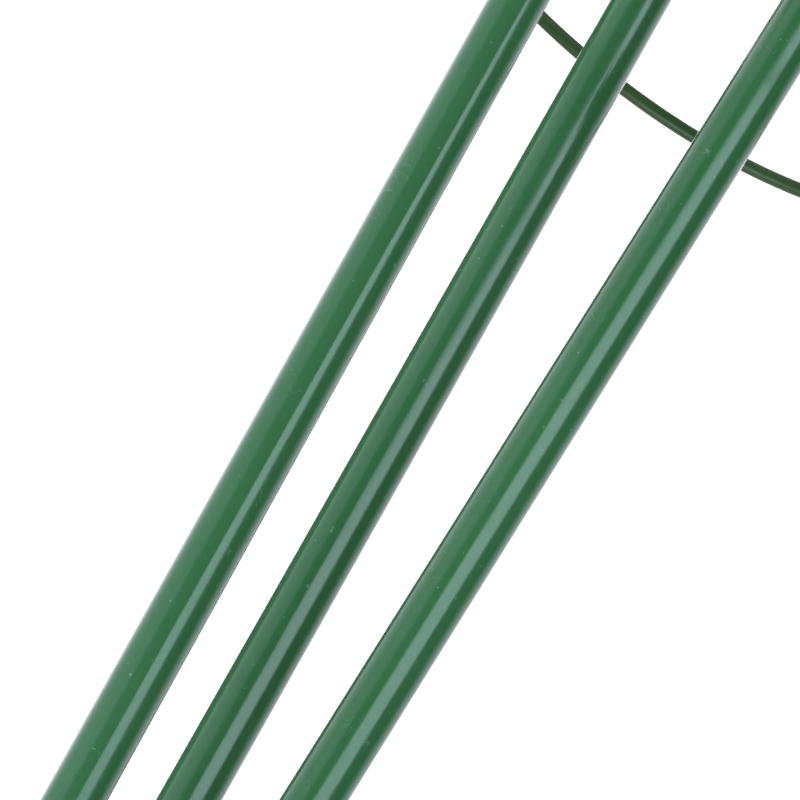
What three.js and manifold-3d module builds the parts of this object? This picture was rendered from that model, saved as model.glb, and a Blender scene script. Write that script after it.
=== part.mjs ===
// A slim garden obelisk for climbing plants: three plastic-coated steel tubes lean together into
// a moulded cap with a ball finial, and four wire hoops stand off them on spokes and snap clips.
// Millimetres, +Z up, origin on the ground at the centre of the three feet.
import * as THREE from 'three';
import { mergeVertices } from 'three/addons/utils/BufferGeometryUtils.js';
import Module from 'manifold-3d';

const wasm = await Module();
wasm.setup();

// ---- driving dimensions ---------------------------------------------------------------------
const LEG_COUNT = 3;
const TUBE_RADIUS = 5.5;
const TUBE_BORE_RADIUS = 4.5;
const WIRE_RADIUS = 1.5;
const GAP = 0.3; // clearance between pieces that touch
const CUT_SPARE = 1; // how far a cutting shape runs past the face that it cuts

const FOOT_CIRCLE = 69; // radius of the circle that the leg axes meet the ground on
const TOP_CIRCLE = 14.5; // radius of the circle that the tube tops lie on
const TOP_HEIGHT = 1500; // height of the tube tops
const FIRST_FOOT = THREE.MathUtils.degToRad(270); // direction of the first foot
const LEG_SKEW = THREE.MathUtils.degToRad(21); // how far round the axis a top is from its foot
const TUBE_JOINT = 640; // distance along a leg from the ground to its tube joint

// Hoops from the top down. A tilted hoop is turned about the horizontal line at TILT_LINE.
const TILT_LINE = THREE.MathUtils.degToRad(287.4);
const HOOPS = [
  { height: 1370, radius: 69, tilt: 0 },
  { height: 1050, radius: 93, tilt: THREE.MathUtils.degToRad(9.25) },
  { height: 730, radius: 117, tilt: 0 },
  { height: 410, radius: 141, tilt: 0 },
];
// A spoke meets its hoop this far round the axis from its leg.
const SPOKE_TURN = THREE.MathUtils.degToRad(3.8);

const TIP_LENGTH = 40; // pointed part of a foot spike
const TIP_FLAT_RADIUS = 2.5; // blunt end of the spike
const TIP_COLLAR = 5; // straight part between the point and the tube
const PLUG_LENGTH = 22; // part of a spike inside the tube
const PLUG_RADIUS = TUBE_BORE_RADIUS - GAP;

const JOINER_LENGTH = 80;
const JOINER_CHAMFER = 1;

const HUB_DEPTH = 32; // how far the cap reaches down over the tube tops
const HUB_RIM_RADIUS = 25.5;
const HUB_CHAMFER = 1;
const HUB_CROWN = 20; // height of the cap above the tube tops
const HUB_SHOULDER = 3; // height above the tube tops where the crown starts to curve in
const HUB_CROWN_STEPS = 5;
const HUB_SEAT_RADIUS = 12; // flat on top of the cap, and base of the finial
const STUD_RADIUS = 3;
const STUD_LENGTH = 32;
const FINIAL_RADIUS = 21;
const FINIAL_BASE = 3; // height of the finial's straight base
const FINIAL_TAPER = 2; // height of the taper from the base to the neck
const FINIAL_NECK_RADIUS = 8;
const FINIAL_NECK = 9; // height from the base to the ball
const FINIAL_STEPS = 11;

const CLIP_HEIGHT = 14;
const CLIP_CURVE_STEPS = 10;
const CLIP_BORE_RADIUS = TUBE_RADIUS + GAP;
const CLIP_OUTER_RADIUS = 8.6;
const CLIP_MOUTH = THREE.MathUtils.degToRad(42); // half the opening of the C that snaps on a tube
const BOSS_RADIUS = 3.8;
const BOSS_REACH = 18; // distance from the tube axis to the boss end
const SPOKE_START = 9.4; // distance from the tube axis to the spoke's inner end

const ROUND = 24; // sides of round pieces
const SLIM_ROUND = 12; // sides of spokes, studs and their holes
const HOOP_SIDES = 8;
const HOOP_STEPS = 48;

// ---- materials ------------------------------------------------------------------------------
const COAT_GREEN = 0x2f6b3a;
const WIRE_GREEN = 0x2d5030;
const MOULDING_GREEN = 0x27592f;
const ZINC_GREY = 0xa9abab;

const coat = new THREE.MeshStandardMaterial({ color: COAT_GREEN, roughness: 0.28, metalness: 0 });
const wireCoat = new THREE.MeshStandardMaterial({ color: WIRE_GREEN, roughness: 0.35, metalness: 0 });
const moulding = new THREE.MeshStandardMaterial({ color: MOULDING_GREEN, roughness: 0.45, metalness: 0 });
const steel = new THREE.MeshStandardMaterial({ color: ZINC_GREY, roughness: 0.4, metalness: 1 });

const obelisk = new THREE.Group();

function addPiece(name, geometry, material, parent = obelisk) {
  const mesh = new THREE.Mesh(geometry, material);
  mesh.name = name;
  parent.add(mesh);
  return mesh;
}

// ---- shapes ---------------------------------------------------------------------------------
// Turns [radius, height] points about +Z. The points run up the outside, so the faces point out.
function turned(points, sides = ROUND) {
  const geometry = new THREE.LatheGeometry(points.map(([r, z]) => new THREE.Vector2(r, z)), sides);
  return geometry.rotateX(Math.PI / 2);
}

function rodAlongZ(radius, start, end, sides = ROUND) {
  return turned([[0, start], [radius, start], [radius, end], [0, end]], sides);
}

function arc(centreZ, radius, from, to, steps) {
  return Array.from({ length: steps + 1 }, (_, i) => {
    const angle = from + ((to - from) * i) / steps;
    return [radius * Math.cos(angle), centreZ + radius * Math.sin(angle)];
  });
}

// ---- booleans -------------------------------------------------------------------------------
function solidOf(geometry) {
  const bare = geometry.clone();
  bare.deleteAttribute('normal');
  bare.deleteAttribute('uv');
  const merged = mergeVertices(bare, 1e-4);
  return new wasm.Manifold(new wasm.Mesh({
    numProp: 3,
    vertProperties: new Float32Array(merged.attributes.position.array),
    triVerts: new Uint32Array(merged.index.array),
  }));
}

function geometryOf(solid) {
  const mesh = solid.getMesh();
  const geometry = new THREE.BufferGeometry();
  geometry.setAttribute('position', new THREE.BufferAttribute(new Float32Array(mesh.vertProperties), 3));
  geometry.setIndex(new THREE.BufferAttribute(new Uint32Array(mesh.triVerts), 1));
  geometry.computeVertexNormals();
  return geometry;
}

// ---- leg lines ------------------------------------------------------------------------------
function legLine(index) {
  const footAngle = FIRST_FOOT + (index * 2 * Math.PI) / LEG_COUNT;
  const topAngle = footAngle + LEG_SKEW;
  const foot = new THREE.Vector3(FOOT_CIRCLE * Math.cos(footAngle), FOOT_CIRCLE * Math.sin(footAngle), 0);
  const top = new THREE.Vector3(
    TOP_CIRCLE * Math.cos(topAngle), TOP_CIRCLE * Math.sin(topAngle), TOP_HEIGHT);
  const length = foot.distanceTo(top);
  const direction = top.clone().sub(foot).normalize();
  return { foot, top, length, direction };
}

const legLines = Array.from({ length: LEG_COUNT }, (_, index) => legLine(index));

// A group whose own +Z runs up the leg from the ground.
function legGroup({ foot, direction }) {
  const group = new THREE.Group();
  group.position.copy(foot);
  group.quaternion.setFromUnitVectors(new THREE.Vector3(0, 0, 1), direction);
  group.updateMatrix();
  obelisk.add(group);
  return group;
}

const legGroups = legLines.map(legGroup);

// ---- legs -----------------------------------------------------------------------------------
function tubeBetween(start, end) {
  return turned([
    [TUBE_BORE_RADIUS, start], [TUBE_RADIUS, start],
    [TUBE_RADIUS, end], [TUBE_BORE_RADIUS, end], [TUBE_BORE_RADIUS, start],
  ]);
}

function joinerAt(centre) {
  const low = centre - JOINER_LENGTH / 2;
  const high = centre + JOINER_LENGTH / 2;
  return turned([
    [0, low], [PLUG_RADIUS - JOINER_CHAMFER, low], [PLUG_RADIUS, low + JOINER_CHAMFER],
    [PLUG_RADIUS, high - JOINER_CHAMFER], [PLUG_RADIUS - JOINER_CHAMFER, high], [0, high],
  ]);
}

// The spike's flat end is cut level with the ground, although the leg leans.
function footSpike(group) {
  const collarTop = TIP_LENGTH + TIP_COLLAR;
  const geometry = turned([
    [0, 0], [TIP_FLAT_RADIUS, 0], [TUBE_RADIUS, TIP_LENGTH], [TUBE_RADIUS, collarTop],
    [PLUG_RADIUS, collarTop], [PLUG_RADIUS, collarTop + PLUG_LENGTH], [0, collarTop + PLUG_LENGTH],
  ]);
  const [, , xRise, , , , yRise, , , , zRise] = group.matrix.elements;
  const position = geometry.attributes.position;
  for (let i = 0; i < position.count; i += 1) {
    if (Math.abs(position.getZ(i)) < 1e-3) {
      position.setZ(i, -(position.getX(i) * xRise + position.getY(i) * yRise) / zRise);
    }
  }
  return geometry;
}

legLines.forEach((line, index) => {
  const group = legGroups[index];
  const number = index + 1;
  const tubeStart = TIP_LENGTH + TIP_COLLAR + GAP;
  addPiece(`foot_spike_${number}`, footSpike(group), moulding, group);
  addPiece(`lower_tube_${number}`, tubeBetween(tubeStart, TUBE_JOINT), coat, group);
  addPiece(`tube_joiner_${number}`, joinerAt(TUBE_JOINT), steel, group);
  addPiece(`upper_tube_${number}`, tubeBetween(TUBE_JOINT + GAP, line.length), coat, group);
});

// ---- cap and finial -------------------------------------------------------------------------
function capHub() {
  const bottom = TOP_HEIGHT - HUB_DEPTH;
  const seat = TOP_HEIGHT + HUB_CROWN;
  const shoulder = TOP_HEIGHT + HUB_SHOULDER;
  const crown = Array.from({ length: HUB_CROWN_STEPS + 1 }, (_, i) => {
    const angle = ((i / HUB_CROWN_STEPS) * Math.PI) / 2;
    const radius = HUB_SEAT_RADIUS + (HUB_RIM_RADIUS - HUB_SEAT_RADIUS) * Math.cos(angle);
    return [radius, shoulder + (seat - shoulder) * Math.sin(angle)];
  });
  let solid = solidOf(turned([
    [0, bottom], [HUB_RIM_RADIUS - HUB_CHAMFER, bottom], [HUB_RIM_RADIUS, bottom + HUB_CHAMFER],
    ...crown, [0, seat],
  ]));
  legLines.forEach((line, index) => {
    const socket = rodAlongZ(TUBE_RADIUS + GAP, line.length - 2 * HUB_DEPTH, line.length + GAP);
    solid = solid.subtract(solidOf(socket.applyMatrix4(legGroups[index].matrix)));
  });
  const studHole = rodAlongZ(STUD_RADIUS + GAP, seat - STUD_LENGTH / 2 - GAP, seat + GAP, SLIM_ROUND);
  return geometryOf(solid.subtract(solidOf(studHole)));
}

function ballFinial() {
  const base = TOP_HEIGHT + HUB_CROWN + GAP;
  const neckTop = base + FINIAL_NECK;
  const startAngle = -Math.acos(FINIAL_NECK_RADIUS / FINIAL_RADIUS);
  const centre = neckTop - FINIAL_RADIUS * Math.sin(startAngle);
  const ball = arc(centre, FINIAL_RADIUS, startAngle, Math.PI / 2, FINIAL_STEPS).slice(0, -1);
  const holeTop = base + STUD_LENGTH / 2;
  return turned([
    [0, holeTop], [STUD_RADIUS + GAP, holeTop], [STUD_RADIUS + GAP, base],
    [HUB_SEAT_RADIUS, base], [HUB_SEAT_RADIUS, base + FINIAL_BASE],
    [FINIAL_NECK_RADIUS, base + FINIAL_BASE + FINIAL_TAPER],
    ...ball, [0, centre + FINIAL_RADIUS],
  ]);
}

function finialStud() {
  const centre = TOP_HEIGHT + HUB_CROWN;
  return rodAlongZ(STUD_RADIUS, centre - STUD_LENGTH / 2, centre + STUD_LENGTH / 2 - GAP, SLIM_ROUND);
}

addPiece('cap_hub', capHub(), moulding);
addPiece('ball_finial', ballFinial(), moulding);
addPiece('finial_stud', finialStud(), steel);

// ---- hoops, spokes and clips ----------------------------------------------------------------
function snapClip() {
  const outline = new THREE.Shape();
  outline.absarc(0, 0, CLIP_OUTER_RADIUS, Math.PI + CLIP_MOUTH, 3 * Math.PI - CLIP_MOUTH, false);
  outline.absarc(0, 0, CLIP_BORE_RADIUS, 3 * Math.PI - CLIP_MOUTH, Math.PI + CLIP_MOUTH, true);
  const collar = new THREE.ExtrudeGeometry(outline, {
    depth: CLIP_HEIGHT, bevelEnabled: false, curveSegments: CLIP_CURVE_STEPS,
  }).translate(0, 0, -CLIP_HEIGHT / 2);
  const alongX = (geometry) => geometry.rotateY(Math.PI / 2);
  const boss = alongX(rodAlongZ(BOSS_RADIUS, CLIP_BORE_RADIUS, BOSS_REACH, SLIM_ROUND));
  const bore = rodAlongZ(CLIP_BORE_RADIUS, -CLIP_HEIGHT, CLIP_HEIGHT);
  const wireHole = alongX(
    rodAlongZ(WIRE_RADIUS + GAP, SPOKE_START - GAP, BOSS_REACH + CUT_SPARE, SLIM_ROUND));
  return geometryOf(
    solidOf(collar).add(solidOf(boss)).subtract(solidOf(bore)).subtract(solidOf(wireHole)));
}

// The point of a hoop that lies in the given horizontal direction from the axis.
function hoopPoint({ height, radius, tilt }, direction) {
  const fromLine = direction - TILT_LINE;
  const turn = Math.atan2(Math.sin(fromLine) / Math.cos(tilt), Math.cos(fromLine));
  const along = radius * Math.cos(turn);
  const across = radius * Math.sin(turn);
  return new THREE.Vector3(along, across * Math.cos(tilt), across * Math.sin(tilt))
    .applyAxisAngle(new THREE.Vector3(0, 0, 1), TILT_LINE)
    .add(new THREE.Vector3(0, 0, height));
}

// A frame at the clip: +Z up the leg, +X straight out to the hoop.
function clipGroup(line, hoop) {
  const atHeight = line.foot.clone().lerp(line.top, hoop.height / TOP_HEIGHT);
  const target = hoopPoint(hoop, Math.atan2(atHeight.y, atHeight.x) + SPOKE_TURN);
  const along = target.clone().sub(line.foot).dot(line.direction);
  const centre = line.foot.clone().addScaledVector(line.direction, along);
  const outward = target.clone().sub(centre);
  const reach = outward.length();
  const xAxis = outward.normalize();
  const yAxis = line.direction.clone().cross(xAxis);
  const group = new THREE.Group();
  group.position.copy(centre);
  group.quaternion.setFromRotationMatrix(new THREE.Matrix4().makeBasis(xAxis, yAxis, line.direction));
  obelisk.add(group);
  return { group, reach };
}

const clipGeometry = snapClip();

HOOPS.forEach((hoop, hoopIndex) => {
  const level = hoopIndex + 1;
  const ring = new THREE.TorusGeometry(hoop.radius, WIRE_RADIUS, HOOP_SIDES, HOOP_STEPS);
  const mesh = addPiece(`wire_hoop_${level}`, ring, wireCoat);
  mesh.position.z = hoop.height;
  const tiltAxis = new THREE.Vector3(Math.cos(TILT_LINE), Math.sin(TILT_LINE), 0);
  mesh.quaternion.setFromAxisAngle(tiltAxis, hoop.tilt);
  legLines.forEach((line, index) => {
    const { group, reach } = clipGroup(line, hoop);
    const end = reach - WIRE_RADIUS - GAP;
    const spoke = rodAlongZ(WIRE_RADIUS, SPOKE_START, end, SLIM_ROUND).rotateY(Math.PI / 2);
    addPiece(`snap_clip_${level}_${index + 1}`, clipGeometry, moulding, group);
    addPiece(`hoop_spoke_${level}_${index + 1}`, spoke, wireCoat, group);
  });
});

export default obelisk;
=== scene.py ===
"""A slim garden obelisk: three glossy green coated tubes, wire hoops on spokes and snap clips,
and a moulded cap with a ball finial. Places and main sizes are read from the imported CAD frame. The
constants give the fine detail that only the visual model has, in metres."""

import math

import bmesh
import bpy
import numpy as np
from mathutils import Matrix, Vector


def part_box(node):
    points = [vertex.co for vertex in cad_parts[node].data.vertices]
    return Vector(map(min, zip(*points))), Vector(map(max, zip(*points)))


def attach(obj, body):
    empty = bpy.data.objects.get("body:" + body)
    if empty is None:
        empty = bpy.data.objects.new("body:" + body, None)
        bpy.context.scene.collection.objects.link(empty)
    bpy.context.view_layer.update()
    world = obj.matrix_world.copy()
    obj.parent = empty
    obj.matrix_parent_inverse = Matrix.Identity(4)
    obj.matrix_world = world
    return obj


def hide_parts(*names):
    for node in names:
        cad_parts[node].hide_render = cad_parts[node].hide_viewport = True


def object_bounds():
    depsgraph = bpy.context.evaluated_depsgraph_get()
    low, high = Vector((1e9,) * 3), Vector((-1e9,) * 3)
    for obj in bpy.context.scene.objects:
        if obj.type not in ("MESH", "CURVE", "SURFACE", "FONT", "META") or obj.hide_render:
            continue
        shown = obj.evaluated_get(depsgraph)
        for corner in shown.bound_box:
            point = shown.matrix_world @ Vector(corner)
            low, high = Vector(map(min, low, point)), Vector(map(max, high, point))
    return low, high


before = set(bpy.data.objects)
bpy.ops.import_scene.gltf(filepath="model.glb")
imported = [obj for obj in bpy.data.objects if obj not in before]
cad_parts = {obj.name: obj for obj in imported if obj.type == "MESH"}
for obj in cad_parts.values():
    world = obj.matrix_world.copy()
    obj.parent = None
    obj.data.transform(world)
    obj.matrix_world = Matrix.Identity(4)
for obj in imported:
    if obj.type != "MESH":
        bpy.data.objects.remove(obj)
cad_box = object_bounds()

MM = 0.001
LEGS = (1, 2, 3)
REAR_LEG = 1
LEVELS = (1, 2, 3, 4)
ROUND = 96  # sides of a turned piece
SLIM_ROUND = 32  # sides of a wire
HOOP_STEPS = 360  # stretches of wire round a hoop
END_SLACK = 0.1 * MM  # corners this near to a piece's end belong to it
SMOOTH = 40  # degrees: sharper edges than this one aren't smoothed over
CUT_SMOOTH = 35  # the same for the pieces that are cut
UP = Vector((0, 0, 1))
IDENTITY = Matrix.Identity(4)


# ---- what the frame says --------------------------------------------------------------------
def corners(node):
    """The different vertex positions of a CAD node."""
    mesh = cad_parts[node].data
    return np.unique(np.array([v.co for v in mesh.vertices], float).round(7), axis=0)


def axis_of(node):
    """The two end centres of a straight CAD piece, the lower one first, and its radius."""
    points = corners(node)
    centre = points.mean(0)
    direction = np.linalg.svd(points - centre)[2][0]
    if direction[2] < 0:
        direction = -direction
    along = (points - centre) @ direction
    low = points[along < along.min() + END_SLACK].mean(0)
    high = points[along > along.max() - END_SLACK].mean(0)
    spine = (high - low) / np.linalg.norm(high - low)
    offset = (points - low) - np.outer((points - low) @ spine, spine)
    return Vector(low), Vector(high), float(np.linalg.norm(offset, axis=1).max())


def circle_of(node):
    """Centre, normal, radius and wire radius of a hoop."""
    points = corners(node)
    centre = points.mean(0)
    normal = np.linalg.svd(points - centre)[2][2]
    if normal[2] < 0:
        normal = -normal
    lift = (points - centre) @ normal
    reach = np.linalg.norm((points - centre) - np.outer(lift, normal), axis=1)
    wire = (reach.max() - reach.min()) / 2
    return Vector(centre), Vector(normal), float(reach.max() - wire), float(wire)


def placed(origin, z_axis, x_axis=None):
    """A matrix at origin whose +Z runs along z_axis, and whose +X is as near x_axis as can be."""
    z = Vector(z_axis).normalized()
    x = Vector(x_axis) if x_axis is not None else UP.orthogonal()
    x = (x - z * x.dot(z)).normalized()
    return Matrix.Translation(origin) @ Matrix((x, z.cross(x), z)).transposed().to_4x4()


# ---- mesh making ----------------------------------------------------------------------------
def raw_object(bm, name, matrix=IDENTITY):
    """Turns a bmesh into a plain object, moved to its place by the matrix."""
    bm.transform(matrix)
    bmesh.ops.recalc_face_normals(bm, faces=bm.faces)
    mesh = bpy.data.meshes.new(name)
    bm.to_mesh(mesh)
    bm.free()
    item = bpy.data.objects.new(name, mesh)
    bpy.context.scene.collection.objects.link(item)
    return item


def paint(mesh, material):
    """Gives a mesh one material, whatever it had."""
    mesh.materials.clear()
    mesh.materials.append(material)


def shade(mesh, degrees):
    """Smooths a mesh, apart from the edges that are sharper than an angle."""
    mesh.shade_smooth()
    mesh.set_sharp_from_angle(angle=math.radians(degrees))


def declare(piece, node):
    """Makes a piece ride on the root and stand for a CAD node, whose own mesh is hidden."""
    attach(piece, "root")
    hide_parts(node)


def piece_from(bm, name, material, node, matrix=IDENTITY):
    """Finishes a bmesh as a visible piece."""
    piece = raw_object(bm, name, matrix)
    paint(piece.data, material)
    shade(piece.data, SMOOTH)
    declare(piece, node)
    return piece


def turned(bm, profile, sides, radius_scale=None):
    """Turns (radius, height) points about +Z. Points on the axis make poles.
    radius_scale(angle, z) may scale a point's radius."""
    rings = []
    for r, z in profile:
        if r == 0:
            rings.append([bm.verts.new((0, 0, z))])
            continue
        ring = []
        for i in range(sides):
            a = 2 * math.pi * i / sides
            reach = r * radius_scale(a, z) if radius_scale else r
            ring.append(bm.verts.new((reach * math.cos(a), reach * math.sin(a), z)))
        rings.append(ring)
    for low, high in zip(rings, rings[1:]):
        for i in range(sides):
            j = (i + 1) % sides
            quad = [low[i % len(low)], low[j % len(low)], high[j % len(high)], high[i % len(high)]]
            distinct = list(dict.fromkeys(quad))
            if len(distinct) > 2:
                bm.faces.new(distinct)
    return rings


def close_loop(bm, rings):
    """Joins the last ring of a turned shell to its first, for a tube with a bore."""
    first, last = rings[0], rings[-1]
    for i in range(len(first)):
        j = (i + 1) % len(first)
        bm.faces.new((last[i], last[j], first[j], first[i]))


def corner(r, z, size, start, steps=4):
    """A quarter-round corner: its centre is (r, z), and it turns left from the start angle."""
    angles = [math.radians(start + 90 * i / steps) for i in range(steps + 1)]
    return [(r + size * math.cos(angle), z + size * math.sin(angle)) for angle in angles]


# ---- materials ------------------------------------------------------------------------------
def new_material(name):
    """A node material, its nodes, its links and its shader."""
    material = bpy.data.materials.new(name)
    material.use_nodes = True
    nodes = material.node_tree.nodes
    return material, nodes, material.node_tree.links, nodes["Principled BSDF"]


def noise(nodes, links, coords, scale, detail, roughness=0.55):
    """A soft random pattern with about so many lumps to the metre."""
    texture = nodes.new("ShaderNodeTexNoise")
    texture.inputs["Scale"].default_value = scale
    texture.inputs["Detail"].default_value = detail
    texture.inputs["Roughness"].default_value = roughness
    links.new(coords, texture.inputs["Vector"])
    return texture.outputs["Fac"]


def ramp(nodes, links, value, stops):
    """A colour that follows a value through (place, colour) stops."""
    node = nodes.new("ShaderNodeValToRGB")
    elements = node.color_ramp.elements
    while len(elements) < len(stops):
        elements.new(0.5)
    for element, (position, colour) in zip(elements, stops):
        element.position = position
        element.color = (*colour, 1)
    links.new(value, node.inputs["Fac"])
    return node.outputs["Color"]


def grey(level):
    """A grey, or a plain amount where a ramp carries one."""
    return (level, level, level)


def feed(links, socket, value):
    """Links a socket to another one, or sets it to a number or a colour."""
    if isinstance(value, bpy.types.NodeSocket):
        links.new(value, socket)
    else:
        socket.default_value = (*value, 1) if isinstance(value, tuple) else value


def mixed(nodes, links, factor, first, second):
    """The second colour over the first, as far as the factor says."""
    node = nodes.new("ShaderNodeMix")
    node.data_type = "RGBA"
    feed(links, node.inputs["Factor"], factor)
    feed(links, node.inputs["A"], first)
    feed(links, node.inputs["B"], second)
    return node.outputs["Result"]


def bumped(nodes, links, height, depth, strength, below=None):
    """A normal for relief of some depth, over the relief that another bump already gave."""
    node = nodes.new("ShaderNodeBump")
    node.inputs["Distance"].default_value = depth
    node.inputs["Strength"].default_value = strength
    links.new(height, node.inputs["Height"])
    if below is not None:
        links.new(below, node.inputs["Normal"])
    return node.outputs["Normal"]


def stretched(nodes, links, coords, scale):
    """Coordinates in which a pattern comes out longer along the axes with a small scale."""
    node = nodes.new("ShaderNodeMapping")
    node.inputs["Scale"].default_value = scale
    links.new(coords, node.inputs["Vector"])
    return node.outputs["Vector"]


TUBE_DARK = (0.0225, 0.106, 0.037)
TUBE_LIGHT = (0.0278, 0.118, 0.044)
WIRE_DARK = (0.0125, 0.040, 0.006)
WIRE_LIGHT = (0.0205, 0.054, 0.009)
MOULD_DARK = (0.020, 0.095, 0.034)
MOULD_LIGHT = (0.028, 0.118, 0.042)
ZINC_DARK = (0.52, 0.54, 0.55)
ZINC_LIGHT = (0.72, 0.73, 0.74)
DUST = (0.13, 0.27, 0.16)
COAT_GLINT = (0.71, 0.89, 1.0, 1)  # the cool cast of what the coating reflects


def coated_tube():
    """Extruded plastic coating: glossy, with fine orange peel, faint lengthwise draw lines,
    hair scratches and a few specks of dust."""
    material, nodes, links, shader = new_material("coated_tube")
    coords = nodes.new("ShaderNodeTexCoord").outputs["Object"]
    tone = noise(nodes, links, coords, scale=14, detail=4)
    colour = ramp(nodes, links, tone, [(0.3, TUBE_DARK), (0.7, TUBE_LIGHT)])
    specks = noise(nodes, links, coords, scale=900, detail=1, roughness=0.4)
    dust = ramp(nodes, links, specks, [(0.76, grey(0)), (0.80, grey(0.6))])
    colour = mixed(nodes, links, dust, colour, DUST)
    # a hair scratch is a thin contour line of some noise, where a coarser noise lets it show
    contour = noise(nodes, links, coords, scale=240, detail=1)
    hair = ramp(nodes, links, contour, [(0.49, grey(0)), (0.5, grey(0.35)), (0.51, grey(0))])
    spread = noise(nodes, links, coords, scale=110, detail=0)
    patches = ramp(nodes, links, spread, [(0.70, grey(0)), (0.75, grey(1))])
    hairlines = mixed(nodes, links, patches, grey(0), hair)
    colour = mixed(nodes, links, hairlines, colour, DUST)
    links.new(colour, shader.inputs["Base Color"])
    handled = stretched(nodes, links, coords, (1, 1, 0.25))
    rubbed = noise(nodes, links, handled, scale=420, detail=5, roughness=0.7)
    dull = ramp(nodes, links, rubbed, [(0.35, grey(0.15)), (0.62, grey(0.20)), (0.8, grey(0.32))])
    links.new(dull, shader.inputs["Roughness"])
    peel = noise(nodes, links, coords, scale=1100, detail=2)
    normal = bumped(nodes, links, peel, depth=0.03 * MM, strength=0.35)
    grain = noise(nodes, links, coords, scale=3200, detail=1)
    normal = bumped(nodes, links, grain, depth=0.02 * MM, strength=0.35, below=normal)
    drawn = stretched(nodes, links, coords, (1, 1, 0.02))
    lines = noise(nodes, links, drawn, scale=1500, detail=2)
    normal = bumped(nodes, links, lines, depth=0.02 * MM, strength=0.25, below=normal)
    links.new(normal, shader.inputs["Normal"])
    shader.inputs["IOR"].default_value = 1.5
    shader.inputs["Specular Tint"].default_value = COAT_GLINT
    return material


def coated_wire():
    """Dipped wire: darker, a little duller, with soft unevenness in the dip."""
    material, nodes, links, shader = new_material("coated_wire")
    coords = nodes.new("ShaderNodeTexCoord").outputs["Object"]
    tone = noise(nodes, links, coords, scale=60, detail=4)
    colour = ramp(nodes, links, tone, [(0.3, WIRE_DARK), (0.7, WIRE_LIGHT)])
    links.new(colour, shader.inputs["Base Color"])
    smear = noise(nodes, links, coords, scale=300, detail=4)
    dull = ramp(nodes, links, smear, [(0.3, grey(0.36)), (0.7, grey(0.52))])
    links.new(dull, shader.inputs["Roughness"])
    dip = noise(nodes, links, coords, scale=260, detail=3)
    links.new(bumped(nodes, links, dip, depth=0.1 * MM, strength=0.3), shader.inputs["Normal"])
    shader.inputs["Specular IOR Level"].default_value = 0.3
    shader.inputs["Specular Tint"].default_value = COAT_GLINT
    return material


def moulded_plastic():
    """Injection moulding with a fine spark-eroded grain and pale scuffs."""
    material, nodes, links, shader = new_material("moulded_plastic")
    coords = nodes.new("ShaderNodeTexCoord").outputs["Object"]
    flow = noise(nodes, links, coords, scale=35, detail=5, roughness=0.6)
    colour = ramp(nodes, links, flow, [(0.3, MOULD_DARK), (0.7, MOULD_LIGHT)])
    wear = noise(nodes, links, coords, scale=160, detail=6, roughness=0.7)
    scuffs = ramp(nodes, links, wear, [(0.6, grey(0)), (0.74, grey(0.4))])
    colour = mixed(nodes, links, scuffs, colour, DUST)
    links.new(colour, shader.inputs["Base Color"])
    smear = noise(nodes, links, coords, scale=250, detail=4)
    dull = ramp(nodes, links, smear, [(0.3, grey(0.36)), (0.7, grey(0.5))])
    links.new(dull, shader.inputs["Roughness"])
    grain = noise(nodes, links, coords, scale=2600, detail=2)
    links.new(bumped(nodes, links, grain, depth=0.05 * MM, strength=0.4), shader.inputs["Normal"])
    return material


def plated_steel():
    """Zinc plating: pale, with a fine crystal spangle and turning marks."""
    material, nodes, links, shader = new_material("plated_steel")
    coords = nodes.new("ShaderNodeTexCoord").outputs["Object"]
    spangle = nodes.new("ShaderNodeTexVoronoi")
    spangle.inputs["Scale"].default_value = 700
    links.new(coords, spangle.inputs["Vector"])
    colour = ramp(nodes, links, spangle.outputs["Distance"], [(0, ZINC_DARK), (1, ZINC_LIGHT)])
    links.new(colour, shader.inputs["Base Color"])
    round_about = stretched(nodes, links, coords, (0.02, 0.02, 1))
    marks = noise(nodes, links, round_about, scale=3000, detail=2)
    dull = ramp(nodes, links, marks, [(0.3, grey(0.28)), (0.7, grey(0.45))])
    links.new(dull, shader.inputs["Roughness"])
    links.new(bumped(nodes, links, marks, depth=0.03 * MM, strength=0.3), shader.inputs["Normal"])
    shader.inputs["Metallic"].default_value = 1
    return material


TUBE = coated_tube()
WIRE = coated_wire()
MOULD = moulded_plastic()
STEEL = plated_steel()


# ---- legs -----------------------------------------------------------------------------------
TUBE_WALL = 1.0 * MM
TUBE_LIP = 0.35 * MM  # rounding of a tube's ends

SPIKE_FIT = 0.3 * MM  # clearance between a spike and its tube
SPIKE_COLLAR = 5 * MM  # straight part between the point and the tube
TIP_RADIUS = 2.5 * MM
TIP_LIFT = 0.08 * MM  # the leaning tip's low side just reaches the ground
TIP_EDGE = 0.5 * MM
CONE_BULGE = 0.35 * MM  # how far the point's side stands out from a straight cone
CONE_STEPS = 12
BEAD_START = 1.6 * MM  # from the top of the point
BEAD_HEIGHT = 2.2 * MM
BEAD_SWELL = 0.55 * MM
BEAD_STEPS = 8
COLLAR_EDGE = 0.2 * MM
PLUG_LENGTH = 22 * MM
PLUG_CHAMFER = 0.6 * MM
SPIKE_SEAM_WIDTH, SPIKE_SEAM_SWELL = 0.03, 0.03  # as parting_line takes them


def make_tube(node):
    """A tube with a bore and rounded ends."""
    low, high, radius = axis_of(node)
    length = (high - low).length
    bore = radius - TUBE_WALL
    bm = bmesh.new()
    inner = radius - TUBE_LIP
    profile = [(bore, 0)]
    profile += corner(inner, TUBE_LIP, TUBE_LIP, -90)
    profile += corner(inner, length - TUBE_LIP, TUBE_LIP, 0)
    profile += [(bore, length)]
    close_loop(bm, turned(bm, profile, ROUND))
    return piece_from(bm, node + "_coated", TUBE, node, placed(low, high - low))


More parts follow.
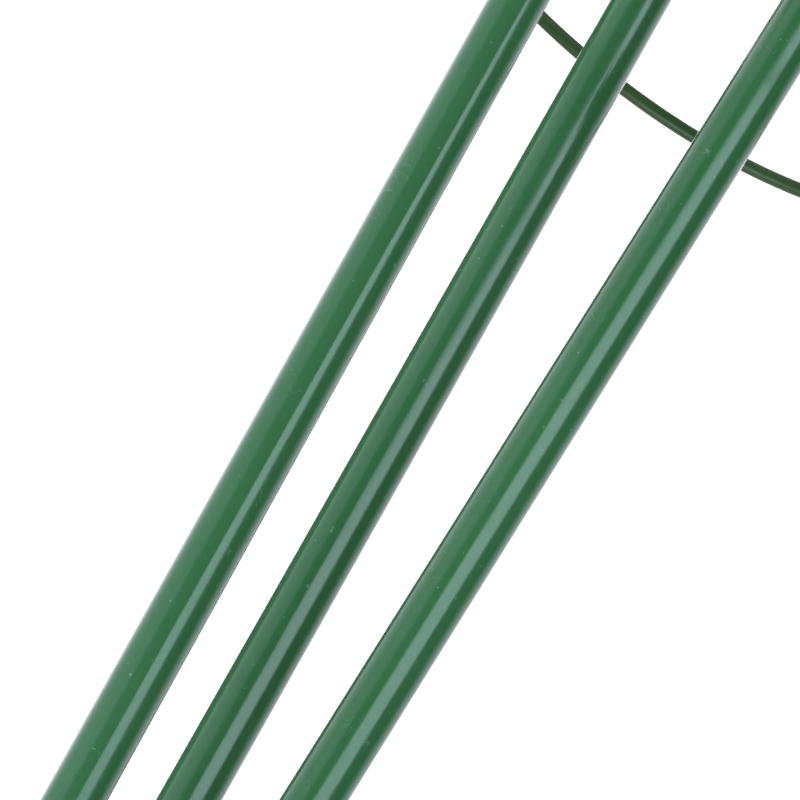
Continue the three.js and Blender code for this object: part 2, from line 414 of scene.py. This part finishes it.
def parting_line(low, high, width, swell):
    """Scales the radius up on the mould's two parting lines, between two heights. Its width is
    half the angle that a line takes up, and its swell a share of the radius."""

    def scale(angle, z):
        turn = angle % math.pi
        on_line = min(turn, math.pi - turn) < width
        return 1 + swell if on_line and low < z < high else 1.0

    return scale


def make_spike(number, leg_direction):
    """A ground spike: rounded point, a bead under the tube and a plug inside it."""
    node = f"foot_spike_{number}"
    tube_low, _, radius = axis_of(f"lower_tube_{number}")
    foot = tube_low - leg_direction * ((tube_low.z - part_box(node)[0].z) / leg_direction.z)
    mouth = (tube_low - foot).length - SPIKE_FIT
    plug = radius - TUBE_WALL - SPIKE_FIT
    cone_top = mouth - SPIKE_COLLAR
    tip_top = TIP_LIFT + TIP_EDGE
    profile = [(0, TIP_LIFT), (TIP_RADIUS - TIP_EDGE, TIP_LIFT), (TIP_RADIUS, tip_top)]
    for i in range(1, CONE_STEPS):
        t = i / CONE_STEPS
        bulge = CONE_BULGE * math.sin(math.pi * t)
        r = TIP_RADIUS + (radius - TIP_RADIUS) * t + bulge
        profile.append((r, tip_top + (cone_top - tip_top) * t))
    bead_low = cone_top + BEAD_START
    profile += [(radius, cone_top), (radius, bead_low)]
    for i in range(1, BEAD_STEPS + 1):
        t = i / BEAD_STEPS
        profile.append((radius + BEAD_SWELL * math.sin(math.pi * t), bead_low + BEAD_HEIGHT * t))
    profile += [(radius, mouth - COLLAR_EDGE), (radius - COLLAR_EDGE, mouth)]
    plug_top = mouth + PLUG_LENGTH
    profile += [(plug, mouth), (plug, plug_top - PLUG_CHAMFER)]
    profile += [(plug - PLUG_CHAMFER, plug_top), (0, plug_top)]
    bm = bmesh.new()
    turned(bm, profile, ROUND, parting_line(tip_top, cone_top, SPIKE_SEAM_WIDTH, SPIKE_SEAM_SWELL))
    piece_from(bm, node + "_moulded", MOULD, node, placed(foot, leg_direction, UP))


leg_axes = {}
for number in LEGS:
    start, _, _ = axis_of(f"lower_tube_{number}")
    _, end, tube_radius = axis_of(f"upper_tube_{number}")
    leg_axes[number] = (start, end, (end - start).normalized())
    for tube in (make_tube(f"lower_tube_{number}"), make_tube(f"upper_tube_{number}")):
        # the front legs aren't mirrored, so that the rear one keeps its whole strip of light
        tube.visible_glossy = (number == REAR_LEG)
    make_spike(number, leg_axes[number][2])
    paint(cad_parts[f"tube_joiner_{number}"].data, STEEL)

paint(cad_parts["finial_stud"].data, STEEL)


# ---- cap and finial -------------------------------------------------------------------------
def cut(piece, cutters, operation="DIFFERENCE"):
    """Cuts the cutters out of a piece, or joins them to it, and removes them."""
    for cutter in cutters:
        modifier = piece.modifiers.new("cut", "BOOLEAN")
        modifier.operation = operation
        modifier.solver = "EXACT"
        modifier.object = cutter
    depsgraph = bpy.context.evaluated_depsgraph_get()
    result = bpy.data.meshes.new_from_object(piece.evaluated_get(depsgraph))
    piece.modifiers.clear()
    old = piece.data
    piece.data = result
    bpy.data.meshes.remove(old)
    for cutter in cutters:
        bpy.data.objects.remove(cutter)


def rod(name, radius, low, high, sides, matrix=IDENTITY):
    """A plain round rod between two heights of its own axis."""
    bm = bmesh.new()
    turned(bm, [(0, low), (radius, low), (radius, high), (0, high)], sides)
    return raw_object(bm, name, matrix)


CAP_SIDES = 144
CAP_RIM = 1.6 * MM  # rounding of the bottom rim
RIM_STEPS = 6
CAP_SEAT = 12 * MM  # radius of the flat that the finial stands on
CAP_CROWN = 17 * MM  # height over which the side curves in to the seat
CROWN_STEPS = 20
CAP_GROOVES = (7 * MM, 10 * MM)  # heights over the rim
GROOVE_DEPTH = 0.7 * MM
GROOVE_WIDTH = 1.6 * MM
GROOVE_STEPS = 8
SLEEVE_SIDES = 64
SLEEVE_WALL = 2.3 * MM
SLEEVE_EDGE = 0.7 * MM
SLEEVE_DROP = 5 * MM  # how far each tube sleeve stands below the cap
SLEEVE_SINK = 4 * MM  # how far below the tube's end the sleeve stops, inside the cap
SOCKET_FIT = 0.25 * MM
STUD_FIT = 0.3 * MM
CUT_SPARE = 10 * MM  # how far a cutting rod runs past the face that it opens


def cap_profile(lo, hi):
    """Half the cap's outline: the rim, the two grooves round its side and the crown."""
    radius = (hi.x - lo.x) / 2
    shoulder = hi.z - CAP_CROWN
    profile = [(0, lo.z)] + corner(radius - CAP_RIM, lo.z + CAP_RIM, CAP_RIM, -90, RIM_STEPS)
    for groove in CAP_GROOVES:
        for i in range(GROOVE_STEPS + 1):
            t = i / GROOVE_STEPS
            z = lo.z + groove + GROOVE_WIDTH * (t - 0.5)
            profile.append((radius - GROOVE_DEPTH * math.sin(math.pi * t), z))
    for i in range(CROWN_STEPS + 1):
        angle = math.pi / 2 * i / CROWN_STEPS
        r = CAP_SEAT + (radius - CAP_SEAT) * math.cos(angle)
        profile.append((r, shoulder + CAP_CROWN * math.sin(angle)))
    profile.append((0, hi.z))
    return profile


def make_cap():
    """The cap, with a sleeve and socket for each leg's tube and a hole for the finial's stud."""
    lo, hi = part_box("cap_hub")
    bm = bmesh.new()
    turned(bm, cap_profile(lo, hi), CAP_SIDES)
    cap = raw_object(bm, "cap_hub_moulded")
    sleeves, sockets = [], []
    for number, (start, end, direction) in leg_axes.items():
        place = placed(start, direction)
        length = (end - start).length
        low = length - (end.z - lo.z) / direction.z - SLEEVE_DROP
        top = length - SLEEVE_SINK
        outer = tube_radius + SLEEVE_WALL
        sleeve = [(0, low)] + corner(outer - SLEEVE_EDGE, low + SLEEVE_EDGE, SLEEVE_EDGE, -90)
        bm = bmesh.new()
        turned(bm, sleeve + [(outer, top), (0, top)], SLEEVE_SIDES)
        sleeves.append(raw_object(bm, f"sleeve_{number}", place))
        bore = tube_radius + SOCKET_FIT
        bore_low, bore_high = low - CUT_SPARE, length + SOCKET_FIT
        sockets.append(rod(f"socket_{number}", bore, bore_low, bore_high, SLEEVE_SIDES, place))
    cut(cap, sleeves, "UNION")
    cut(cap, sockets)
    stud_low, _, stud_radius = axis_of("finial_stud")
    hole_low = stud_low.z - STUD_FIT
    cut(cap, [rod("stud_hole", stud_radius + STUD_FIT, hole_low, hi.z + CUT_SPARE, SLIM_ROUND)])
    paint(cap.data, MOULD)
    shade(cap.data, CUT_SMOOTH)
    declare(cap, "cap_hub")


FINIAL_SIDES = 192
FINIAL_BASE = 3.4 * MM  # height of the base disc
FINIAL_FOOT_EDGE = 0.6 * MM  # roundings of the base disc
FINIAL_TOP_EDGE = 0.8 * MM
FINIAL_NECK = 8 * MM  # radius where the neck runs into the ball
NECK_PINCH = 1.6 * MM  # how far the neck draws in between the base and the ball
NECK_FLARE = 3 * MM  # how far it spreads at the base
NECK_STEPS = 8
BALL_STEPS = 48
BALL_SEAM_WIDTH, BALL_SEAM_SWELL = 0.02, 0.007


def make_finial():
    """The ball on its neck and base disc, with a blind hole for the stud."""
    lo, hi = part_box("ball_finial")
    _, stud_top, stud_radius = axis_of("finial_stud")
    radius = (hi.x - lo.x) / 2
    centre = hi.z - radius
    hole = stud_radius + STUD_FIT
    hole_top = stud_top.z + STUD_FIT
    base_top = lo.z + FINIAL_BASE
    profile = [(0, hole_top), (hole, hole_top), (hole, lo.z)]
    profile += corner(CAP_SEAT - FINIAL_FOOT_EDGE, lo.z + FINIAL_FOOT_EDGE, FINIAL_FOOT_EDGE, -90)
    profile += corner(CAP_SEAT - FINIAL_TOP_EDGE, base_top - FINIAL_TOP_EDGE, FINIAL_TOP_EDGE, 0)
    start = -math.acos(FINIAL_NECK / radius)
    neck_top = centre + radius * math.sin(start)
    for i in range(1, NECK_STEPS):
        t = i / NECK_STEPS
        r = FINIAL_NECK - NECK_PINCH * math.sin(math.pi * t) + NECK_FLARE * (1 - t) ** 3
        profile.append((r, base_top + (neck_top - base_top) * t))
    for i in range(BALL_STEPS):
        angle = start + (math.pi / 2 - start) * i / BALL_STEPS
        profile.append((radius * math.cos(angle), centre + radius * math.sin(angle)))
    profile.append((0, hi.z))
    bm = bmesh.new()
    turned(bm, profile, FINIAL_SIDES, parting_line(base_top, hi.z, BALL_SEAM_WIDTH, BALL_SEAM_SWELL))
    piece_from(bm, "ball_finial_moulded", MOULD, "ball_finial")


make_cap()
make_finial()


# ---- hoops, spokes and clips ----------------------------------------------------------------
WELD_SWELL = 0.22  # how much thicker the wire is at its butt weld
WELD_LENGTH = 1.6 * MM
FIRST_WELD, WELD_TURN = 3.9, 1.7  # where round the top hoop its weld is, and each one's turn on
WIRE_EDGE = 0.3 * MM
FILLET_LENGTH = 3 * MM  # where a spoke swells into the weld on its hoop
FILLET_SWELL = 0.9 * MM
FILLET_STEPS = 8
FILLET_PAST = 0.5 * MM  # how far the fillet runs into the hoop
SPOKE_NOSE = 1.1 * MM


def make_hoop(level):
    """A ring of wire, a little thicker where it is butt-welded to itself."""
    centre, normal, radius, wire = circle_of(f"wire_hoop_{level}")
    weld = FIRST_WELD + WELD_TURN * (level - 1)
    bm = bmesh.new()
    rings = []
    for i in range(HOOP_STEPS):
        a = 2 * math.pi * i / HOOP_STEPS
        off = ((a - weld + math.pi) % (2 * math.pi) - math.pi) * radius
        thick = wire * (1 + WELD_SWELL * math.exp(-((off / WELD_LENGTH) ** 2)))
        ring = []
        for j in range(SLIM_ROUND):
            b = 2 * math.pi * j / SLIM_ROUND
            r = radius + thick * math.cos(b)
            ring.append(bm.verts.new((r * math.cos(a), r * math.sin(a), thick * math.sin(b))))
        rings.append(ring)
    for i in range(HOOP_STEPS):
        low, high = rings[i], rings[(i + 1) % HOOP_STEPS]
        for j in range(SLIM_ROUND):
            k = (j + 1) % SLIM_ROUND
            bm.faces.new((low[j], high[j], high[k], low[k]))
    node = f"wire_hoop_{level}"
    piece_from(bm, node + "_coated", WIRE, node, placed(centre, normal, (1, 0, 0)))


def make_spoke(level, number, start, end, wire):
    """A straight wire whose outer end swells into the weld on its hoop."""
    length = (end - start).length
    fillet_low = length - FILLET_LENGTH
    profile = [(0, 0), (wire - WIRE_EDGE, 0), (wire, WIRE_EDGE), (wire, fillet_low)]
    for i in range(1, FILLET_STEPS + 1):
        t = i / FILLET_STEPS
        profile.append((wire + FILLET_SWELL * t * t, fillet_low + (FILLET_LENGTH + FILLET_PAST) * t))
    profile += [(wire + FILLET_PAST, length + SPOKE_NOSE), (0, length + SPOKE_NOSE)]
    bm = bmesh.new()
    turned(bm, profile, SLIM_ROUND)
    node = f"hoop_spoke_{level}_{number}"
    piece_from(bm, node + "_welded", WIRE, node, placed(start, end - start))


CLIP_WALL = 2.6 * MM
CLIP_HEIGHT = 14 * MM
CLIP_MOUTH = math.radians(42)  # half the opening of the C
CLIP_FIT = 0.3 * MM
CLIP_EDGE = 0.7 * MM
CLIP_STEPS = 64
CLIP_END_STEPS = 3  # rings that round over each end of the C
CLIP_END_SHARE = 0.05  # what is left of the wall at the very end
CLIP_END_DIP = 0.1  # how much of the height is lost there
CLIP_EDGE_STEPS = 3
LIP_START = 0.9  # the lips turn out over the last tenth, to guide the tube in
LIP_FLARE = 0.5 * MM
BOSS_RADIUS = 3.8 * MM
BOSS_END = 18 * MM  # distance from the tube's axis
BOSS_SINK = 0.8 * MM  # how far past the bore the boss starts, inside the wall
BOSS_FLARE = 1.3 * MM
BOSS_FLARE_LENGTH = 5 * MM
BOSS_EDGE = 0.8 * MM
BOSS_STEPS = 8
BOSS_SIDES = 48
SPOKE_FIT = 0.1 * MM


def clip_collar(bm):
    """An open C of rounded rectangular section, its mouth towards -X."""
    middle = tube_radius + CLIP_FIT + CLIP_WALL / 2
    half_wall, half_height = CLIP_WALL / 2, CLIP_HEIGHT / 2
    section = []
    for across, along, start in ((1, -1, -90), (1, 1, 0), (-1, 1, 90), (-1, -1, 180)):
        centre = across * (half_wall - CLIP_EDGE), along * (half_height - CLIP_EDGE)
        section += corner(*centre, CLIP_EDGE, start, CLIP_EDGE_STEPS)
    reach = math.pi - CLIP_MOUTH
    rings = []
    for i in range(-CLIP_END_STEPS, CLIP_STEPS + CLIP_END_STEPS + 1):
        place = min(max(2 * i / CLIP_STEPS - 1, -1), 1)  # from -1 at one end of the C to 1 at the other
        past = max(-i, i - CLIP_STEPS, 0) / CLIP_END_STEPS
        share = max(math.sqrt(1 - past * past), CLIP_END_SHARE)
        a = place * reach + math.copysign(past * half_wall / middle, place)
        flare = LIP_FLARE * max(0, abs(place) - LIP_START) / (1 - LIP_START)
        shrink = 1 - CLIP_END_DIP * (1 - share)
        ring = []
        for x, z in section:
            r = middle + flare + x * share
            ring.append(bm.verts.new((r * math.cos(a), r * math.sin(a), z * shrink)))
        rings.append(ring)
    for low, high in zip(rings, rings[1:]):
        for j in range(len(low)):
            k = (j + 1) % len(low)
            bm.faces.new((low[j], low[k], high[k], high[j]))
    bm.faces.new(rings[0])
    bm.faces.new(rings[-1])


def clip_boss(bm):
    """The socket for the spoke: flared where it grows out of the collar, rounded at its mouth."""
    start = tube_radius + CLIP_FIT + BOSS_SINK
    profile = [(0, start)]
    for i in range(BOSS_STEPS + 1):
        t = i / BOSS_STEPS
        profile.append((BOSS_RADIUS + BOSS_FLARE * (1 - t) ** 2, start + BOSS_FLARE_LENGTH * t))
    profile += corner(BOSS_RADIUS - BOSS_EDGE, BOSS_END - BOSS_EDGE, BOSS_EDGE, 0)
    profile.append((0, BOSS_END))
    turned(bm, profile, BOSS_SIDES)


def clip_mesh(spoke_start, wire):
    """The one clip shape, in its own frame: +Z up the leg, +X out to the hoop."""
    outward = Matrix.Rotation(math.pi / 2, 4, "Y")
    bm = bmesh.new()
    clip_collar(bm)
    clip = raw_object(bm, "clip_shape")
    bm = bmesh.new()
    clip_boss(bm)
    cut(clip, [raw_object(bm, "clip_boss", outward)], "UNION")
    hole_low = spoke_start - SPOKE_FIT
    hole_high = BOSS_END + CUT_SPARE
    cut(clip, [rod("spoke_hole", wire + SPOKE_FIT, hole_low, hole_high, SLIM_ROUND, outward)])
    mesh = clip.data
    paint(mesh, MOULD)
    shade(mesh, CUT_SMOOTH)
    bpy.data.objects.remove(clip)
    return mesh


def spoke_line(level, number):
    """A spoke's inner and outer end, and the point where its line meets the leg's axis."""
    inner, outer, _ = axis_of(f"hoop_spoke_{level}_{number}")
    if inner.xy.length > outer.xy.length:
        inner, outer = outer, inner
    start, _, direction = leg_axes[number]
    return inner, outer, start + direction * (inner - start).dot(direction)


def make_clip(level, number, shape, centre, outward):
    """A copy of the clip shape round a leg, its boss pointing outward."""
    node = f"snap_clip_{level}_{number}"
    clip = bpy.data.objects.new(node + "_moulded", shape.copy())
    clip.data.transform(placed(centre, leg_axes[number][2], outward))
    bpy.context.scene.collection.objects.link(clip)
    declare(clip, node)


inner, _, centre = spoke_line(1, 1)
clip_shape = clip_mesh((inner - centre).length, circle_of("wire_hoop_1")[3])
for level in LEVELS:
    make_hoop(level)
    wire_radius = circle_of(f"wire_hoop_{level}")[3]
    for number in LEGS:
        inner, outer, centre = spoke_line(level, number)
        make_spoke(level, number, inner, outer, wire_radius)
        make_clip(level, number, clip_shape, centre, (outer - inner).normalized())


# ---- stage ----------------------------------------------------------------------------------
CAMERA_AZIMUTH = math.radians(102.097)  # direction of the camera from the object's axis
CAMERA_ELEVATION = math.radians(26.927)
CAMERA_ROLL = math.radians(-149.740)
CAMERA_DISTANCE = 1.26296  # from the aim point
CAMERA_AIM_ABOVE_HOOP = 0.13780  # height of the aim point over the centre of the second hoop
CAMERA_AIM_ASIDE = 0.003963  # and how far it is to the right of that centre, before the roll
CAMERA_LENS = 296.93  # mm, like the sensor's width
CAMERA_SENSOR = 36
CAMERA_NEAREST, CAMERA_FARTHEST = 0.05, 200  # what it can see, in metres


def towards(azimuth, elevation):
    """The unit vector towards a direction."""
    level = math.cos(elevation)
    return Vector((level * math.cos(azimuth), level * math.sin(azimuth), math.sin(elevation)))


def make_camera():
    """A long lens looking down at the upper legs, rolled so that they run across the picture."""
    camera = bpy.data.objects.new("camera", bpy.data.cameras.new("camera"))
    bpy.context.scene.collection.objects.link(camera)
    camera.data.sensor_width = CAMERA_SENSOR
    camera.data.lens = CAMERA_LENS
    camera.data.clip_start = CAMERA_NEAREST
    camera.data.clip_end = CAMERA_FARTHEST
    back = towards(CAMERA_AZIMUTH, CAMERA_ELEVATION)
    aside = (-back).cross(UP).normalized()
    above = aside.cross(-back)
    right = math.cos(CAMERA_ROLL) * aside + math.sin(CAMERA_ROLL) * above
    up = -math.sin(CAMERA_ROLL) * aside + math.cos(CAMERA_ROLL) * above
    facing = Matrix((right, up, back)).transposed().to_4x4()
    aim = circle_of("wire_hoop_2")[0] + UP * CAMERA_AIM_ABOVE_HOOP + aside * CAMERA_AIM_ASIDE
    camera.matrix_world = Matrix.Translation(aim + back * CAMERA_DISTANCE) @ facing
    bpy.context.scene.camera = camera


FLOOR_SIZE = 80
FLOOR_GAP = 0.1 * MM  # between the feet and the floor
FLOOR_COLOUR = (0.75, 0.75, 0.75, 1)
FLOOR_ROUGHNESS = 0.9
FLOOR_GLOW = 0.15  # lifts it to white in the picture


def make_floor():
    """A wide white floor, which isn't mirrored."""
    bm = bmesh.new()
    bmesh.ops.create_grid(bm, x_segments=1, y_segments=1, size=FLOOR_SIZE / 2)
    floor = raw_object(bm, "floor")
    floor.location.z = cad_box[0].z - FLOOR_GAP
    material, _, _, shader = new_material("floor")
    shader.inputs["Base Color"].default_value = FLOOR_COLOUR
    shader.inputs["Roughness"].default_value = FLOOR_ROUGHNESS
    shader.inputs["Emission Color"].default_value = (1, 1, 1, 1)
    shader.inputs["Emission Strength"].default_value = FLOOR_GLOW
    paint(floor.data, material)
    floor.visible_glossy = False


SUN_ENERGY = 2.5
SUN_SOFTNESS = math.radians(25)  # how wide it looks from the object
SUN_AZIMUTH = CAMERA_AZIMUTH + math.radians(60)
SUN_ELEVATION = math.radians(50)


def make_sun():
    """A broad soft key light, high to one side of the camera."""
    sun = bpy.data.objects.new("key", bpy.data.lights.new("key", "SUN"))
    bpy.context.scene.collection.objects.link(sun)
    sun.data.energy = SUN_ENERGY
    sun.data.angle = SUN_SOFTNESS
    source = towards(SUN_AZIMUTH, SUN_ELEVATION)
    sun.rotation_euler = source.to_track_quat("Z", "Y").to_euler()


FLAG_THICKNESS = 1 * MM
FLAG_COLOUR = (0.01, 0.01, 0.01, 1)
FLAG_BOTTOM, FLAG_TOP = 1000 * MM, 1315 * MM  # distances along the leg
# The leg that each flag stands by, the places (aside from the leg, behind it) that its width runs
# between at the ground, and how far it leans aside from the leg for each unit of height.
FLAGS = [
    (1, (22.4 * MM, 2 * MM), (22.4 * MM, 74 * MM), 0),
    (1, (5.2 * MM, -22.9 * MM), (0.7 * MM, -15.1 * MM), 0),
    (3, (-28.7 * MM, -12 * MM), (-18.6 * MM, -15.5 * MM), 0.0219),
]


def make_flags():
    """Slim black cards between the legs, seen only in reflections: they darken the far edges of
    the coated tubes and trim the strip of light on one of them, as a photographer's flags do."""
    behind = -towards(CAMERA_AZIMUTH, 0)
    aside = behind.cross(UP)
    height = FLAG_TOP - FLAG_BOTTOM
    material, _, _, shader = new_material("flag")
    shader.inputs["Base Color"].default_value = FLAG_COLOUR
    for number, (leg, near, far, lean) in enumerate(FLAGS, 1):
        start, _, direction = leg_axes[leg]
        across = aside * (far[0] - near[0]) + behind * (far[1] - near[1])
        place = placed(start + aside * near[0] + behind * near[1], direction + aside * lean, across)
        bm = bmesh.new()
        bmesh.ops.create_cube(bm, size=1)
        bmesh.ops.scale(bm, vec=(across.length, FLAG_THICKNESS, height), verts=bm.verts)
        middle = (across.length / 2, 0, (FLAG_BOTTOM + FLAG_TOP) / 2)
        bmesh.ops.translate(bm, vec=middle, verts=bm.verts)
        flag = raw_object(bm, f"flag_{number}", place)
        paint(flag.data, material)
        flag.visible_camera = False
        flag.visible_diffuse = False
        flag.visible_transmission = False
        flag.visible_shadow = False


# The studio round the object. Bearings are in degrees from the camera's direction towards the
# picture's lower right. NEAR is what the coated tubes mirror when they are seen from above at the
# camera's height: pale walls to the left and behind, and a dark room on the camera's side. The
# strip light stands in that room, slanting. RING is what every other view mirrors.
NEAR = [(-180, 3.0), (-140, 3.0), (-115, 1.7), (-97, 1.25), (-80, 1.0), (-39, 0.8), (-33, 0.02), (88, 0.02)]
NEAR += [(112, 1.2), (145, 1.45), (180, 2.4)]
RING = [(-165, 1.3), (-130, 1.3), (-120, 0.1), (-85, 0.1), (-75, 1.5), (-40, 1.5), (-30, 0.1), (10, 0.1)]
RING += [(20, 1.9), (50, 1.9), (60, 0.1), (90, 0.1), (100, 1.5), (145, 1.5), (155, 0.1), (170, 0.1)]
NEAR_BAND = [(-0.66, 0), (-0.61, 1), (-0.25, 1), (-0.18, 0)]  # sines of the elevation
STRIP_FOOT, STRIP_HEAD = -0.556, -0.446  # sines of the elevations that its left edge slants between
STRIP_LEFT_FOOT, STRIP_LEFT_HEAD, STRIP_RIGHT = 22, -1.5, 45  # bearings of its edges
STRIP_SOFT = 3.5  # how far its edges fade over
STRIP_BRIGHTNESS = 4.7
WALL_TINT = (1.12, 1.02, 1.15)  # a faint lilac cast
PEAK = 5  # the brightest light, which the others are fractions of
OVERHEAD = 0.95
OVERHEAD_BAND = (0.45, 0.75)  # sines of the elevations that it fades in between
BACKDROP = 1.05


def arithmetic(nodes, links, operation, first, second):
    """Two values put together by one of a Math node's operations."""
    node = nodes.new("ShaderNodeMath")
    node.operation = operation
    feed(links, node.inputs[0], first)
    feed(links, node.inputs[1], second)
    return node.outputs["Value"]


def mapped(nodes, links, value, source, target):
    """A value moved from one range to another, and kept inside it."""
    node = nodes.new("ShaderNodeMapRange")
    links.new(value, node.inputs["Value"])
    for socket, number in zip(("From Min", "From Max", "To Min", "To Max"), (*source, *target)):
        node.inputs[socket].default_value = number
    return node.outputs["Result"]


def turn_share(degrees):
    """A bearing as a share of the full turn, 0 at -180 degrees."""
    return (degrees + 180) / 360


def strip_light(nodes, links, share, rise):
    """Brightness of the slanting strip light in a direction."""
    soft = STRIP_SOFT / 360
    slant = (turn_share(STRIP_LEFT_FOOT), turn_share(STRIP_LEFT_HEAD))
    left = mapped(nodes, links, rise, (STRIP_FOOT, STRIP_HEAD), slant)
    past_left = arithmetic(nodes, links, "SUBTRACT", share, left)
    inside = mapped(nodes, links, past_left, (-soft, soft), (0, 1))
    right = turn_share(STRIP_RIGHT)
    bright = mapped(nodes, links, share, (right - soft, right + soft), (STRIP_BRIGHTNESS / PEAK, 0))
    return arithmetic(nodes, links, "MULTIPLY", inside, bright)


def walls(nodes, links, share, bearings):
    """The tinted walls round the object, from (bearing, brightness) pairs."""
    stops = [
        (turn_share(degrees), tuple(tint * brightness / PEAK for tint in WALL_TINT))
        for degrees, brightness in bearings
    ]
    return ramp(nodes, links, share, stops)


def make_world():
    """What surfaces mirror, and the plain backdrop that the camera sees."""
    world = bpy.data.worlds.new("studio")
    bpy.context.scene.world = world
    world.use_nodes = True
    nodes, links = world.node_tree.nodes, world.node_tree.links
    turn = nodes.new("ShaderNodeVectorRotate")
    turn.rotation_type = "Z_AXIS"
    turn.inputs["Angle"].default_value = -CAMERA_AZIMUTH
    links.new(nodes.new("ShaderNodeTexCoord").outputs["Generated"], turn.inputs["Vector"])
    split = nodes.new("ShaderNodeSeparateXYZ")
    links.new(turn.outputs["Vector"], split.inputs["Vector"])
    rise = split.outputs["Z"]
    bearing = arithmetic(nodes, links, "ARCTAN2", split.outputs["Y"], split.outputs["X"])
    share = mapped(nodes, links, bearing, (math.pi, -math.pi), (0, 1))
    strip = strip_light(nodes, links, share, rise)
    near = nodes.new("ShaderNodeVectorMath")
    near.operation = "ADD"
    links.new(walls(nodes, links, share, NEAR), near.inputs[0])
    links.new(strip, near.inputs[1])
    height = mapped(nodes, links, rise, (-1, 1), (0, 1))
    in_band = ramp(nodes, links, height, [((sine + 1) / 2, grey(amount)) for sine, amount in NEAR_BAND])
    sky = mixed(nodes, links, in_band, walls(nodes, links, share, RING), near.outputs["Vector"])
    above = mapped(nodes, links, rise, OVERHEAD_BAND, (0, 1))
    sky = mixed(nodes, links, above, sky, grey(OVERHEAD / PEAK))
    seen = nodes.new("ShaderNodeLightPath").outputs["Is Camera Ray"]
    shown = mixed(nodes, links, seen, sky, grey(BACKDROP / PEAK))
    links.new(shown, nodes["Background"].inputs["Color"])
    nodes["Background"].inputs["Strength"].default_value = PEAK


make_camera()
make_floor()
make_sun()
make_flags()
make_world()
bpy.context.scene.view_settings.view_transform = "Standard"
